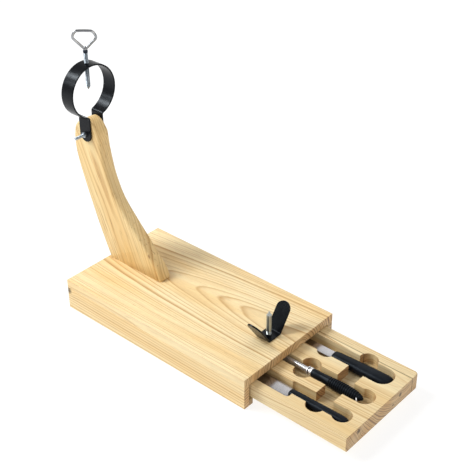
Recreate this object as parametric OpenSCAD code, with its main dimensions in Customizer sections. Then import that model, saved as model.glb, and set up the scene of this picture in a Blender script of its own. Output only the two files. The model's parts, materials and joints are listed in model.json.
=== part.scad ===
// Ham holder stand: a pine base with a knife drawer, a curved arm with a
// tilting ring clamp, and a spike between two steel wings.
// Millimetres. +X runs from the arm to the drawer, +Z is up, and the origin
// is on the table under the middle of the base.

/* [Base] */
// Length of the base, from its rear edge to the drawer's opening
base_length = 453; // [440:1:480]
// Width of the base
base_width = 250; // [246:1:270]
// Height of the base's top face above the table
base_height = 65; // [64:0.5:70]
// Thickness of the top board
top_thickness = 18; // [16:0.5:18.5]
// Thickness of each side board
side_thickness = 13; // [12:0.5:14]
// Thickness of the rear board
back_thickness = 13; // [10:0.5:16]
// Width of each drawer runner
runner_width = 10; // [8:0.5:12]
// Height of each drawer runner
runner_height = 12.5; // [11:0.5:13]
// Diameter of the dowels that join the boards
dowel_d = 6; // [5:1:8]

/* [Arm] */
// Thickness of the arm, across the base
arm_thickness = 28; // [26:1:30]
// Radius of the arm's rounded edges
arm_edge = 5; // [2:0.5:6]
// Diameter of the plain shank of the three screws that hold the arm
arm_screw_d = 5; // [4:0.5:6]
// Length of those screws
arm_screw_length = 60; // [50:1:64]

/* [Ring clamp] */
// Height of the ring's pivot bolt above the table
pivot_height = 325.5; // [322:0.5:328]
// Distance of the pivot bolt behind the base's middle
pivot_back = 262; // [258:1:266]
// Height of the ring's centre above its pivot bolt
ring_rise = 85.5; // [84:0.5:90]
// Inside radius of the ring
ring_inner_r = 50; // [46:0.5:52]
// Thickness of the steel strip that the ring and the spike's wings are bent from
strip_thickness = 3; // [2.5:0.5:4]
// Width of that strip
strip_width = 30; // [28:1:32]
// Diameter of the pivot bolt's thread
bolt_d = 6; // [5:1:6]
// Length of the pivot bolt under its head
bolt_length = 60; // [55:1:65]

/* [Clamp screw] */
// Diameter of the clamp screw
screw_d = 8; // [8:1:10]
// Distance from the ring's centre up to the point of the screw
screw_tip_rise = 2; // [0:0.5:10]
// Length of the screw's rod, from its point to the handle's collar
screw_length = 71; // [70:1:90]
// Diameter of the wire that the handle is bent from
wire_d = 5; // [4:0.5:5]
// Width of the handle's loop between its corners, along its centre line
handle_width = 43; // [40:1:50]
// Height of the handle's top bar above the collar, along its centre line
handle_height = 35.5; // [34:0.5:42]
// Direction that the handle's loop faces at rest
handle_turn = 41; // [0:1:180]

/* [Spike] */
// Distance of the spike in front of the base's middle
spike_forward = 178.5; // [165:0.5:185]
// Distance of the spike to the side of the base's centre line
spike_side = -2.5; // [-5:0.5:5]
// Diameter of the spike
spike_d = 10; // [8:1:12]
// Height of the spike's point above the base
spike_height = 55; // [45:1:65]
// Length of the spike's point
spike_point = 8; // [6:1:12]
// Width of the bracket's flat between its two wings
bracket_flat = 32; // [28:1:36]
// Length of each wing, along the strip
wing_length = 59; // [50:1:65]
// Lean of each wing away from upright
wing_lean = 34; // [20:1:40]

/* [Drawer] */
// How far the drawer stands out of the base at rest
drawer_out = 199.5; // [150:0.5:220]
// Length of the drawer
drawer_length = 439; // [430:1:439]
// Width of the drawer
drawer_width = 216; // [214:1:217]
// Distance of the drawer's centre line to the side of the base's
drawer_shift = 1.5; // [0:0.5:2]
// Height of the drawer's top face above the table
drawer_top = 44.5; // [44:0.5:45]
// Depth of the pockets cut in the drawer
pocket_depth = 20; // [19:0.5:21]
// Diameter of the cutter that makes the finger channel and the finger holes
cutter_d = 35; // [30:1:36]
// Radius of the drawer's two long bottom edges
drawer_edge = 6; // [2:1:7]
// Width of the strip glued to the drawer's far side
strip_board = 21.5; // [15:0.5:22]

/* [Tools in the drawer] */
// Length of the ham knife's blade
ham_blade_length = 244; // [200:1:246]
// Width of the ham knife's blade
ham_blade_width = 24; // [20:1:25]
// Length of the boning knife's blade
boning_blade_length = 170; // [130:1:180]
// Width of the boning knife's blade
boning_blade_width = 18; // [16:1:23]
// Length of the sharpening steel's rod, up to its ferrule
steel_length = 225; // [180:1:240]
// Diameter of the sharpening steel's rod
steel_d = 11; // [8:1:11]

/* [Hidden] */
$fn = 64;

PINE = "burlywood";
END_PINE = "tan";
BLACK = "#1b1b1e";
ZINC = "silver";

// Gaps round a glued or seated joint, a running fit, two bodies side by side
// and a loose hole; over is how far a cut runs past what it cuts
seat = 0.05;
running = 0.05;
gap = 0.3;
loose = 0.2;
over = 1;

front_x = base_length / 2;
rear_x = -front_x;
side_y = base_width / 2;
bay_y = side_y - side_thickness;
ceiling_z = base_height - top_thickness;

pivot_x = -pivot_back;
ring_z = pivot_height + ring_rise;
ring_outer_r = ring_inner_r + strip_thickness;
leg_y = arm_thickness / 2 + gap;
leg_out_y = leg_y + strip_thickness;

nut_af = 13;
nut_height = 5;
screw_tip_z = ring_z + screw_tip_rise;
screw_top_z = screw_tip_z + screw_length;
spigot_d = 6;
spigot_length = 5;
collar_d = 9;
collar_height = 6;
handle_z = screw_top_z + collar_height;

drawer_front = front_x + drawer_out;
drawer_rear = drawer_front - drawer_length;
drawer_low = runner_height + gap;
drawer_near = drawer_shift - drawer_width / 2;
drawer_far = drawer_shift + drawer_width / 2;
seam_y = drawer_far - strip_board;
floor_z = drawer_top - pocket_depth;

// Centre lines of the three tools, and where their handles begin
ham_y = -69;
steel_y = -3;
boning_y = 60.5;
ham_start = drawer_front - 144;
steel_start = drawer_front - 146;
boning_start = drawer_front - 147;
// Middles of the finger channel and of the finger slot beside the steel
channel_x = drawer_front - 86.5;
finger_x = drawer_front - 155.5;

// A hexagon that is af wide across its flats
module hexagon(af, height) {
  cylinder(d = af / cos(30), h = height, $fn = 6);
}

// Points of a smooth curve through the points p, n to each stretch
function curve_at(a, b, c, d, t) =
  0.5 * (2 * b + (c - a) * t + (2 * a - 5 * b + 4 * c - d) * t * t
    + (3 * b - a - 3 * c + d) * t * t * t);
function curve(p, n) = concat(
  [for (i = [0 : len(p) - 2]) for (k = [0 : n - 1])
    curve_at(p[max(i - 1, 0)], p[i], p[i + 1], p[min(i + 2, len(p) - 1)], k / n)],
  [p[len(p) - 1]]);

// ---- Base ----

// Dowels stand in the side boards and the rear board, and go up into the top
dowel_reach = 10;
dowel_root = 16;
dowel_pitch = 125;
back_dowel_pitch = 67;
side_dowels = [for (y = [-1, 1]) for (k = [-1.5 : 1.5])
  [k * dowel_pitch, y * (side_y - side_thickness / 2)]];
back_dowels = [for (k = [-1 : 1]) [rear_x + back_thickness / 2, k * back_dowel_pitch]];

module dowels(places, play = 0) {
  for (p = places)
    translate([p.x, p.y, ceiling_z - dowel_root - play])
      cylinder(d = dowel_d + 2 * play, h = dowel_root + dowel_reach + 2 * play);
}

module base_dowels() {
  color(PINE) dowels(concat(side_dowels, back_dowels));
}

module base_top() {
  color(PINE) difference() {
    translate([rear_x, -side_y, ceiling_z]) cube([base_length, base_width, top_thickness]);
    dowels(concat(side_dowels, back_dowels), seat);
    arm_screw_set(seat);
    spike_place() {
      translate([0, 0, -top_thickness - over])
        cylinder(d = insert_d + 2 * seat, h = over + insert_rise + insert_length + seat);
      translate([0, 0, -top_thickness]) cylinder(d = shank_d + 2 * loose, h = top_thickness + over);
    }
  }
}

module base_side(near) {
  low_y = near ? -side_y : bay_y;
  color(PINE) difference() {
    translate([rear_x, low_y, 0]) cube([base_length, side_thickness, ceiling_z]);
    dowels(side_dowels, seat);
  }
}

module base_side_near() {
  base_side(true);
}

module base_side_far() {
  base_side(false);
}

module base_back() {
  color(PINE) difference() {
    translate([rear_x, -bay_y, 0]) cube([back_thickness, 2 * bay_y, ceiling_z]);
    dowels(back_dowels, seat);
  }
}

module runner(low_y) {
  color(END_PINE) translate([rear_x + back_thickness, low_y, 0])
    cube([base_length - back_thickness, runner_width, runner_height]);
}

module runner_near() {
  runner(-bay_y);
}

module runner_far() {
  runner(bay_y - runner_width);
}

// ---- Arm ----

// The arm's outline from its heel, up the back, over the crown and down the
// front to its toe: forward of the base's rear edge, and above the base
arm_outline = [
  [5, 0], [-4, 20], [-25, 70], [-51, 142], [-68, 196], [-73, 228], [-71, 258],
  [-62, 276], [-36, 292], [-19, 287.5], [-7, 272.5], [-4.6, 268], [-3.4, 261],
  [-1, 238], [8, 194], [20, 161], [35, 134], [66, 99], [95, 69], [121, 41],
  [135, 26], [143, 11], [145, 0]
];
arm_points = curve(arm_outline, 3);
arm_count = len(arm_points);

// The way out of the arm at point i; the two foot points move level, so that
// the foot stays flat
function arm_out(i) =
  i == 0 ? [-1, 0] :
  i == arm_count - 1 ? [1, 0] :
  let (along = arm_points[i + 1] - arm_points[i - 1])
    [-along.y, along.x] / norm(along);
edge_steps = 4;
arm_layers = concat(
  [for (k = [0 : edge_steps]) let (a = 90 * k / edge_steps)
    [arm_edge * (1 - cos(a)) - arm_thickness / 2, arm_edge * (1 - sin(a))]],
  [for (k = [edge_steps : -1 : 0]) let (a = 90 * k / edge_steps)
    [arm_thickness / 2 - arm_edge * (1 - cos(a)), arm_edge * (1 - sin(a))]]);

// The arm's flat side, as strips that run from its back to its front, up to
// the last triangle at the crown; first is the number of the side's first point
function arm_cap(first) = let (half = (arm_count - 1) / 2)
  [for (i = [0 : half - 1]) let (b = arm_count - 1 - i)
    i < half - 1 ? [first + b, first + b - 1, first + i + 1, first + i]
      : [first + b, first + b - 1, first + i]];

module arm_body() {
  layers = len(arm_layers);
  points = [for (layer = arm_layers) for (i = [0 : arm_count - 1])
    let (p = arm_points[i] - arm_out(i) * layer[1])
      [rear_x + p.x, layer[0], base_height + p.y]];
  walls = [for (l = [0 : layers - 2]) for (i = [0 : arm_count - 1])
    let (j = (i + 1) % arm_count)
      [l * arm_count + i, (l + 1) * arm_count + i, (l + 1) * arm_count + j, l * arm_count + j]];
  near_cap = [for (face = arm_cap(0)) [for (i = [len(face) - 1 : -1 : 0]) face[i]]];
  far_cap = arm_cap((layers - 1) * arm_count);
  polyhedron(points, concat(walls, near_cap, far_cap));
}

// The arm's countersunk screws go up through the top board
arm_screw_first = 28;
arm_screw_pitch = 38;
arm_screw_places = [for (k = [0 : 2]) rear_x + arm_screw_first + arm_screw_pitch * k];
arm_head_d = 12;
arm_head_height = 4;

module arm_screw_set(play = 0) {
  for (x = arm_screw_places) translate([x, 0, ceiling_z]) {
    cylinder(d1 = arm_head_d + 2 * play, d2 = arm_screw_d + 2 * play, h = arm_head_height);
    cylinder(d = arm_screw_d + 2 * play, h = arm_screw_length + play);
  }
}

module arm_screws() {
  color(ZINC) arm_screw_set();
}

module arm() {
  color(PINE) difference() {
    arm_body();
    arm_screw_set(seat);
    translate([pivot_x, arm_thickness, pivot_height]) rotate([90, 0, 0])
      cylinder(d = bolt_d + 2 * running, h = 2 * arm_thickness);
  }
}

// ---- Spike and its bracket ----

shank_d = 8;
shank_length = 14;
insert_d = 12;
insert_length = 12;
insert_rise = 1;
// Widths of the spike's point at its root and its tip
point_root_d = 6.2;
point_tip_d = 1;

module spike_place() {
  translate([spike_forward, spike_side, base_height]) children();
}

module spike() {
  shoulder = spike_height - strip_thickness - spike_point;
  color(ZINC) spike_place() translate([0, 0, strip_thickness]) {
    cylinder(d = spike_d, h = shoulder);
    translate([0, 0, shoulder]) cylinder(d1 = point_root_d, d2 = point_tip_d, h = spike_point);
    translate([0, 0, -shank_length]) cylinder(d = shank_d, h = shank_length);
  }
}

// A threaded sleeve let into the underside of the top board
module spike_insert() {
  color(ZINC) spike_place() translate([0, 0, insert_rise - top_thickness]) difference() {
    cylinder(d = insert_d, h = insert_length);
    translate([0, 0, -over]) cylinder(d = shank_d + 2 * seat, h = insert_length + 2 * over);
  }
}

// Half of the bent strip seen from the drawer's end: where its flat stops, then
// up the wing's outer face, across, and down its inner face to the flat's top
wing_straight = wing_length - strip_width / 2;
wing_along = [sin(wing_lean), cos(wing_lean)];
wing_across = [-cos(wing_lean), sin(wing_lean)] * strip_thickness;
bend_outer = [bracket_flat / 2, 0];
wing_end = bend_outer + wing_straight * wing_along;
bend_inner = bend_outer + wing_across
  + wing_along * (strip_thickness - wing_across.y) / wing_along.y;
strip_half = [bend_outer, wing_end, wing_end + wing_across, bend_inner];

module bent_strip() {
  translate([-strip_width / 2, 0, 0]) rotate([90, 0, 90]) linear_extrude(strip_width)
    polygon(concat(strip_half, [for (i = [3 : -1 : 0]) [-strip_half[i].x, strip_half[i].y]]));
}

module round_end() {
  translate([0, bracket_flat / 2, 0]) rotate([-wing_lean, 0, 0])
    translate([0, 0, wing_straight]) rotate([90, 0, 0])
      cylinder(d = strip_width, h = strip_thickness);
}

module spike_bracket() {
  color(BLACK) spike_place() difference() {
    union() {
      bent_strip();
      round_end();
      mirror([0, 1, 0]) round_end();
    }
    translate([0, 0, -over]) cylinder(d = shank_d + 2 * loose, h = strip_thickness + 2 * over);
  }
}

// ---- Ring clamp ----

// A leg reaches up to where its inside face meets the ring's inside
module ring_leg() {
  leg_length = ring_rise - sqrt(pow(ring_inner_r, 2) - pow(leg_y, 2));
  translate([pivot_x - strip_width / 2, leg_y, pivot_height])
    cube([strip_width, strip_thickness, leg_length]);
  translate([pivot_x, leg_out_y, pivot_height]) rotate([90, 0, 0])
    cylinder(d = strip_width, h = strip_thickness);
}

// A round bar across the ring, wide enough to fill or to cut it
module across_ring(r, length) {
  translate([pivot_x - length / 2, 0, ring_z]) rotate([0, 90, 0])
    cylinder(r = r, h = length, $fn = 128);
}

module ring() {
  color(BLACK) difference() {
    union() {
      difference() {
        across_ring(ring_outer_r, strip_width);
        across_ring(ring_inner_r, strip_width + 2 * over);
        translate([pivot_x - strip_width, -leg_y, pivot_height])
          cube([2 * strip_width, 2 * leg_y, ring_rise]);
      }
      ring_leg();
      mirror([0, 1, 0]) ring_leg();
    }
    translate([pivot_x, 2 * leg_out_y, pivot_height]) rotate([90, 0, 0])
      cylinder(d = bolt_d + 2 * seat, h = 4 * leg_out_y);
    translate([pivot_x, 0, ring_z]) cylinder(d = screw_d + 2 * loose, h = 2 * ring_outer_r);
  }
}

// Hexagon nut for the clamp screw's thread, welded inside the ring at its top
// and ground to the ring's curve
module screw_nut() {
  color(BLACK) difference() {
    intersection() {
      translate([pivot_x, 0, ring_z + ring_inner_r - nut_height]) hexagon(nut_af, nut_height);
      across_ring(ring_inner_r - seat, 2 * strip_width);
    }
    translate([pivot_x, 0, ring_z]) cylinder(d = screw_d + 2 * running, h = 2 * ring_outer_r);
  }
}

bolt_head_height = 4;
small_nut_height = 5;
small_nut_af = 10;

// Laid along the pivot bolt, from y towards the near side
module on_pivot(y) {
  translate([pivot_x, y, pivot_height]) rotate([90, 0, 0]) children();
}

module ring_bolt() {
  color(ZINC) on_pivot(leg_out_y + bolt_head_height) {
    hexagon(small_nut_af, bolt_head_height);
    cylinder(d = bolt_d, h = bolt_head_height + bolt_length);
  }
}

module ring_nut() {
  color(ZINC) on_pivot(-leg_out_y) difference() {
    hexagon(small_nut_af, small_nut_height);
    translate([0, 0, -over]) cylinder(d = bolt_d + 2 * seat, h = small_nut_height + 2 * over);
  }
}

// ---- Clamp screw and handle ----

screw_point = 6;
screw_point_d = 2.4;

module clamp_screw() {
  color(ZINC) translate([pivot_x, 0, screw_tip_z]) {
    cylinder(d1 = screw_point_d, d2 = screw_d, h = screw_point);
    translate([0, 0, screw_point]) cylinder(d = screw_d, h = screw_length - screw_point);
    translate([0, 0, screw_length]) cylinder(d = spigot_d, h = spigot_length);
  }
}

module handle_collar() {
  color(BLACK) translate([pivot_x, 0, screw_top_z + gap]) difference() {
    cylinder(d = collar_d, h = collar_height - gap);
    translate([0, 0, -over]) cylinder(d = spigot_d + 2 * running, h = over + spigot_length);
  }
}

// Points of a smooth closed curve through the points p, n to each stretch
function closed_curve(p, n) = let (c = len(p))
  [for (i = [0 : c - 1]) for (k = [0 : n - 1])
    curve_at(p[(i + c - 1) % c], p[i], p[(i + 1) % c], p[(i + 2) % c], k / n)];

// One side of the loop's centre line above the collar, from the neck up to
// the shoulder and over to the top bar, in parts of its width and its height
handle_shape = [
  [0.1, 0.13], [0.29, 0.36], [0.44, 0.54], [0.49, 0.66], [0.46, 0.8], [0.37, 0.95], [0.25, 1]
];
handle_half = [for (p = handle_shape) [p.x * handle_width, p.y * handle_height]];
handle_last = len(handle_half) - 1;
handle_path = closed_curve(concat([[0, wire_d / 2]], handle_half,
  [for (i = [handle_last : -1 : 0]) [-handle_half[i].x, handle_half[i].y]]), 4);

// A tube of the given width along a closed path in the XZ plane
module loop_tube(path, width, sides = 12) {
  count = len(path);
  points = [for (i = [0 : count - 1])
    let (along = path[(i + 1) % count] - path[(i + count - 1) % count],
      out = [along.y, -along.x] / norm(along))
    for (k = [0 : sides - 1]) let (a = 360 * k / sides)
      [path[i].x + out.x * cos(a) * width / 2, sin(a) * width / 2,
        path[i].y + out.y * cos(a) * width / 2]];
  faces = [for (i = [0 : count - 1]) for (k = [0 : sides - 1])
    let (j = (i + 1) % count, m = (k + 1) % sides)
      [i * sides + k, j * sides + k, j * sides + m, i * sides + m]];
  polyhedron(points, faces);
}

module clamp_handle() {
  color(ZINC) translate([pivot_x, 0, handle_z]) rotate([0, 0, handle_turn]) {
    loop_tube(handle_path, wire_d);
    cylinder(d = wire_d, h = 0.7 * wire_d, $fn = 24);
  }
}

// ---- Drawer ----

// A board's end, from one side to the other, with rounded bottom corners
module board_end(low_y, high_y, low_r, high_r) {
  translate([low_y, drawer_low + drawer_edge])
    square([high_y - low_y, drawer_top - drawer_low - drawer_edge]);
  translate([low_y + low_r, drawer_low]) square([high_y - low_y - low_r - high_r, drawer_edge]);
  if (low_r > 0) translate([low_y + low_r, drawer_low + low_r]) circle(r = low_r);
  if (high_r > 0) translate([high_y - high_r, drawer_low + high_r]) circle(r = high_r);
}

module board(low_y, high_y, low_r, high_r) {
  translate([drawer_rear, 0, 0]) rotate([90, 0, 90]) linear_extrude(drawer_length)
    board_end(low_y, high_y, low_r, high_r);
}

// A pocket's outline from back to front between its two sides, its corners
// rounded
module pocket(back, front, sides, r = corner_r) {
  width = sides[1] - sides[0];
  translate([back + r, sides[0]]) square([front - back - 2 * r, width]);
  translate([back, sides[0] + r]) square([front - back, width - 2 * r]);
  for (x = [back + r, front - r]) for (y = [sides[0] + r, sides[1] - r])
    translate([x, y]) circle(r = r);
}

module round_hole(x, y, d) {
  translate([x, y]) circle(d = d);
}

// A slot across the drawer that the cutter makes in one pass
module cross_slot(x, sides) {
  pocket(x - cutter_d / 2, x + cutter_d / 2, sides, cutter_d / 2 - seat);
}

corner_r = 6;
blade_end = drawer_rear + 36;
butt_x = drawer_front - 37.5;

module ham_knife_pocket() {
  pocket(blade_end, ham_start + 10, [-90, -53]);
  pocket(ham_start - 12, drawer_front - 22, [-78, -49], 14);
  round_hole(butt_x - 1, -65.5, cutter_d);
}

module steel_pocket() {
  pocket(blade_end, finger_x, [-20, 3]);
  cross_slot(finger_x, [-37, 22]);
  pocket(finger_x, butt_x, [-23, 12]);
  round_hole(butt_x, -3.5, cutter_d + 4);
}

module boning_knife_pocket() {
  pocket(blade_end, channel_x, [45, 80]);
  pocket(channel_x - 10, drawer_front - 23, [38, 84], 22);
  round_hole(finger_x - 2, 52.5, cutter_d);
}

module finger_channel() {
  cross_slot(channel_x, [-92, 98]);
}

module drawer_pockets() {
  translate([0, 0, floor_z]) linear_extrude(pocket_depth + over) {
    ham_knife_pocket();
    steel_pocket();
    boning_knife_pocket();
    finger_channel();
  }
}

module drawer_block() {
  color(PINE) difference() {
    board(drawer_near, seam_y - seat, drawer_edge, 0);
    drawer_pockets();
  }
}

// What is cut away to round the drawer's far front corner
corner_cut_r = 8;
module corner_cut() {
  translate([drawer_front - corner_cut_r, drawer_far - corner_cut_r, 0]) difference() {
    cube([corner_cut_r + over, corner_cut_r + over, base_height]);
    translate([0, 0, -over]) cylinder(r = corner_cut_r, h = base_height + 2 * over);
  }
}

module drawer_strip() {
  color(PINE) difference() {
    board(seam_y, drawer_far, 0, drawer_edge);
    drawer_pockets();
    corner_cut();
  }
}

// ---- Knives and sharpening steel ----

tool_floor = floor_z + gap;
tang_length = 80;
tang_width = 9;
blade_thickness = 2;

// A blade lies flat, edge to the near side: straight spine, edge curving up
// to the point; the tang runs back from x = 0
module blade_outline(length, width, belly) {
  spine = width / 2;
  polygon(concat(
    [[0, spine], [-length, spine]],
    curve([[-length, spine], [-length + belly * 0.25, 0], [-length + belly, -spine],
      [-length + belly * 1.4, -spine]], 6),
    [[0, -spine]]));
}

module tang(play = 0) {
  translate([-over, -tang_width / 2 - play, -blade_thickness / 2 - play])
    cube([tang_length + over + play, tang_width + 2 * play, blade_thickness + 2 * play]);
}

module blade(start, y, z, length, width, belly) {
  color(ZINC) translate([start, y, z]) {
    translate([0, 0, -blade_thickness / 2]) linear_extrude(blade_thickness)
      blade_outline(length, width, belly);
    tang();
  }
}

// A handle's outline seen from one side: places along it in parts of its
// length, and half widths in parts of its width
grip_shape = [
  [0, 0.48], [0.12, 0.5], [0.35, 0.48], [0.7, 0.49], [0.88, 0.5], [0.97, 0.36], [1, 0]
];
module grip_outline(length, width) {
  top = curve([for (p = grip_shape) [p.x * length, p.y * width]], 4);
  polygon(concat([[0, 0]], top, [for (i = [len(top) - 1 : -1 : 0]) [top[i].x, -top[i].y]]));
}

module grip(start, y, z, length, width, thick) {
  color(BLACK) translate([start, y, z]) difference() {
    intersection() {
      translate([0, 0, -thick]) linear_extrude(2 * thick) grip_outline(length, width);
      translate([0, width, 0]) rotate([90, 0, 0]) linear_extrude(2 * width)
        grip_outline(length, thick);
    }
    tang(seat);
  }
}

// Each knife: its handle's length, width and thickness, and the length of the
// curve that runs up to the blade's point
ham_grip = [121, 17.4, 18.5];
ham_belly = 70;
ham_z = tool_floor + ham_grip.z / 2;
boning_grip = [122, 27, 19];
boning_belly = 60;
boning_z = tool_floor + boning_grip.z / 2;

module ham_knife_blade() {
  blade(ham_start - seat, ham_y, ham_z, ham_blade_length, ham_blade_width, ham_belly);
}

module ham_knife_handle() {
  grip(ham_start, ham_y, ham_z, ham_grip.x, ham_grip.y, ham_grip.z);
}

module boning_knife_blade() {
  blade(boning_start - seat, boning_y, boning_z, boning_blade_length, boning_blade_width,
    boning_belly);
}

module boning_knife_handle() {
  grip(boning_start, boning_y, boning_z, boning_grip.x, boning_grip.y, boning_grip.z);
}

// The steel: its fattest radius, then its rod's taper, ferrule (a flange, a
// groove and a barrel), handle, tang and ring
steel_r = 10.4;
steel_z = tool_floor + steel_r;
rod_taper = 8;
rod_tip_d = 4;
ferrule_length = 10;
flange_d = 17.6;
flange_length = 2.2;
groove_d = 13;
groove_length = 1.6;
barrel_d = 16.4;
steel_hand = 107;
steel_tang = 60;
steel_ring_r = 5.5;
steel_ring_wire = 2;
steel_ring_turn = -49;

module on_steel(forward = 0) {
  translate([steel_start + forward, steel_y, steel_z]) rotate([0, 90, 0]) children();
}

module steel_rod() {
  color(ZINC) on_steel(-ferrule_length - steel_length) {
    cylinder(d1 = rod_tip_d, d2 = steel_d, h = rod_taper);
    translate([0, 0, rod_taper]) cylinder(d = steel_d, h = steel_length - rod_taper - seat);
    translate([0, 0, steel_length - over]) cylinder(d = spigot_d, h = steel_tang);
  }
}

module steel_ferrule() {
  barrel = flange_length + groove_length;
  color(ZINC) on_steel(-ferrule_length) difference() {
    union() {
      cylinder(d = flange_d, h = flange_length);
      cylinder(d = groove_d, h = ferrule_length - seat);
      translate([0, 0, barrel]) cylinder(d = barrel_d, h = ferrule_length - barrel - seat);
    }
    translate([0, 0, -over]) cylinder(d = spigot_d + 2 * seat, h = ferrule_length + 2 * over);
  }
}

// A small ring hangs in a hole through the butt of the steel's handle
module steel_ring_place() {
  translate([steel_start + steel_hand - 9, steel_y - 8.5, steel_z - 2])
    rotate([90, 0, steel_ring_turn]) children();
}

module steel_ring_shape(wire) {
  rotate_extrude($fn = 48) translate([steel_ring_r, 0]) circle(d = wire, $fn = 24);
}

// Radius of the steel's handle at places along it, from its ferrule to its butt
steel_grip = [
  [8.1, 0], [8.1, 8], [8, 20], [8.8, 37], [10.2, 55], [10.4, 69], [8.9, 89], [5.6, 101],
  [0.01, steel_hand]
];

module steel_handle() {
  color(BLACK) difference() {
    on_steel() rotate_extrude()
      polygon(concat([[0, 0]], curve(steel_grip, 3), [[0, steel_hand]]));
    on_steel(-over) cylinder(d = spigot_d + 2 * seat, h = steel_tang);
    steel_ring_place() steel_ring_shape(steel_ring_wire + 2 * loose);
  }
}

module steel_ring() {
  color(ZINC) steel_ring_place() steel_ring_shape(steel_ring_wire);
}

// ---- Drawing ----

base_top();
base_side_near();
base_side_far();
base_back();
runner_near();
runner_far();
base_dowels();
arm();
arm_screws();
spike_bracket();
spike();
spike_insert();
ring();
screw_nut();
ring_bolt();
ring_nut();
clamp_screw();
handle_collar();
clamp_handle();
drawer_block();
drawer_strip();
ham_knife_blade();
ham_knife_handle();
steel_rod();
steel_ferrule();
steel_handle();
steel_ring();
boning_knife_blade();
boning_knife_handle();
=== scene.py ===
"""Looks of the ham holder stand: pine boards, black strap steel, a wire-handled screw and three tools."""

import json
import math

import bmesh
import bpy
from mathutils import Matrix, Vector


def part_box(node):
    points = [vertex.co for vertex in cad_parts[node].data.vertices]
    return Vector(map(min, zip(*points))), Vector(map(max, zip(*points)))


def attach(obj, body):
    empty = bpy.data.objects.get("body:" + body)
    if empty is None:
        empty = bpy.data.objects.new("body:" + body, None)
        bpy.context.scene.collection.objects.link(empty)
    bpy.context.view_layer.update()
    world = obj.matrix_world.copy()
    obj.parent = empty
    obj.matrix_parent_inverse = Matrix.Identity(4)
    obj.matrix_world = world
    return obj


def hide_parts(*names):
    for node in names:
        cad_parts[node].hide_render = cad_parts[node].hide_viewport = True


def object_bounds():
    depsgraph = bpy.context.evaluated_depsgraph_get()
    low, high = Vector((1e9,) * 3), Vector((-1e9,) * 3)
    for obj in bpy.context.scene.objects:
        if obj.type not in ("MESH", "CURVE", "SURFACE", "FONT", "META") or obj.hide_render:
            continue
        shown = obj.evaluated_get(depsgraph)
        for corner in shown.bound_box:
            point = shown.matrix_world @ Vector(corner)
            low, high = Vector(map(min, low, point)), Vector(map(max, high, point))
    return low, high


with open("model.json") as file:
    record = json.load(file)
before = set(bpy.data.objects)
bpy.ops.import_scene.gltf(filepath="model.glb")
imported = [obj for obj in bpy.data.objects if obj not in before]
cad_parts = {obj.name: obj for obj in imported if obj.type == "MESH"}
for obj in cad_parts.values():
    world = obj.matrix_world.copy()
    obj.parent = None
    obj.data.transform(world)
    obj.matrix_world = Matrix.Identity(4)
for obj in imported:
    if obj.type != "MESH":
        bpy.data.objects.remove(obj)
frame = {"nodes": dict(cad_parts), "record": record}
CAD_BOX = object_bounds()
MM = 0.001
NODES = frame["nodes"]
BODIES = frame["record"]["behaviour"]["bodies"]
BODY_OF = {node: body for body, nodes in BODIES.items() for node in nodes}
ALONG = (1, 0, 0)
NEARER = (0, -1, 0)
UP = (0, 0, 1)


# ---- Meshes ----

def add_piece(name, mesh, sharp=35):
    """A piece with smooth shading that breaks at edges sharper than the angle."""
    bm = bmesh.new()
    bm.from_mesh(mesh)
    bmesh.ops.recalc_face_normals(bm, faces=bm.faces)
    bm.to_mesh(mesh)
    bm.free()
    mesh.shade_smooth()
    mesh.set_sharp_from_angle(angle=math.radians(sharp))
    piece = bpy.data.objects.new(name, mesh)
    bpy.context.scene.collection.objects.link(piece)
    normals = piece.modifiers.new("flat_faces", "WEIGHTED_NORMAL")
    normals.keep_sharp = True
    return piece


def stand_for(piece, material, *nodes):
    """The piece is shown for these CAD nodes, on their body and with their finish."""
    piece.data.materials.clear()
    piece.data.materials.append(material)
    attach(piece, BODY_OF[nodes[0]])
    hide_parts(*nodes)
    return piece


def skin(name, rows, loop=False, sharp=35):
    """A closed surface through rows of equally many points. A loop joins its last row to its first."""
    count, around = len(rows), len(rows[0])
    points = [tuple(p) for row in rows for p in row]
    faces = []
    for r in range(count if loop else count - 1):
        for k in range(around):
            a, b = r * around, (r + 1) % count * around
            m = (k + 1) % around
            faces.append((a + k, a + m, b + m, b + k))
    if not loop:
        faces.append(tuple(range(around)))
        faces.append(tuple(range((count - 1) * around, count * around)))
    mesh = bpy.data.meshes.new(name)
    mesh.from_pydata(points, [], faces)
    return add_piece(name, mesh, sharp)


def turned(name, profile, start, axis, sides=48, sharp=35):
    """A turned piece. The profile gives (distance along the axis, radius), and a radius may be a function
    of the angle."""
    axis = Vector(axis).normalized()
    side = axis.orthogonal().normalized()
    up = axis.cross(side)
    rows = []
    for distance, radius in profile:
        row = []
        for k in range(sides):
            a = 2 * math.pi * k / sides
            r = radius(a) if callable(radius) else radius
            row.append(Vector(start) + axis * distance + (side * math.cos(a) + up * math.sin(a)) * r)
        rows.append(row)
    return skin(name, rows, sharp=sharp)


THREAD_DEPTH = 0.54
ROWS_A_TURN = 8
M8_PITCH = 1.25 * MM
M6_PITCH = 1.0 * MM


def thread(length, radius, pitch, first=0.0, tip=None):
    """Profile of a threaded rod; tip, if given, limits the radius at a distance."""
    depth = THREAD_DEPTH * pitch
    steps = round(length / pitch * ROWS_A_TURN)
    profile = []
    for i in range(steps + 1):
        d = first + length * i / steps
        cap = tip(d - first) if tip else radius

        def at(a, d=d, cap=cap):
            wave = 0.5 + 0.5 * math.cos(2 * math.pi * d / pitch - a)
            return min(radius - depth * wave ** 1.5, cap)
        profile.append((d, at))
    return profile


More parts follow.
